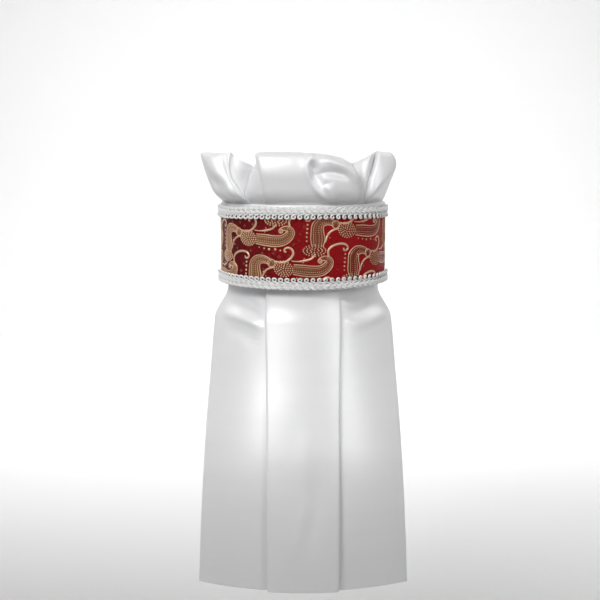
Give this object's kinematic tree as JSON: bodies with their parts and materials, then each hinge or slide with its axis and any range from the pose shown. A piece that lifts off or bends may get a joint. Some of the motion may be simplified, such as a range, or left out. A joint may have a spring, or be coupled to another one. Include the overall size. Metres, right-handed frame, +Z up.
{
  "type": "stock tie",
  "caption": "Ready-made riding stock tie: padded satin collar with a brocade front between looped braids, a pleated standing frill above and a pleated hanging bib.",
  "frame": {"origin": "middle of the neck's hollow, half way up the collar", "axes": "+Z up along the neck and the tie's longest extent, front towards -Y, +X to the viewer's right"},
  "size_m": [0.1496, 0.1573, 0.306],
  "materials": {
    "white_satin": "glossy white polyester satin",
    "crimson_brocade": "crimson satin ground with woven gold and bronze paisley",
    "white_braid": "plaited gimp braid of white cord with looped edges",
    "white_tape": "matt woven hook and loop tape"
  },
  "bodies": {
    "root": {"collar": "white_satin", "hook_and_loop_patch": "white_tape", "brocade_strip": "crimson_brocade", "upper_braid": "white_braid", "lower_braid": "white_braid", "frill": "white_satin", "bib": "white_satin"}
  },
  "joints": []
}
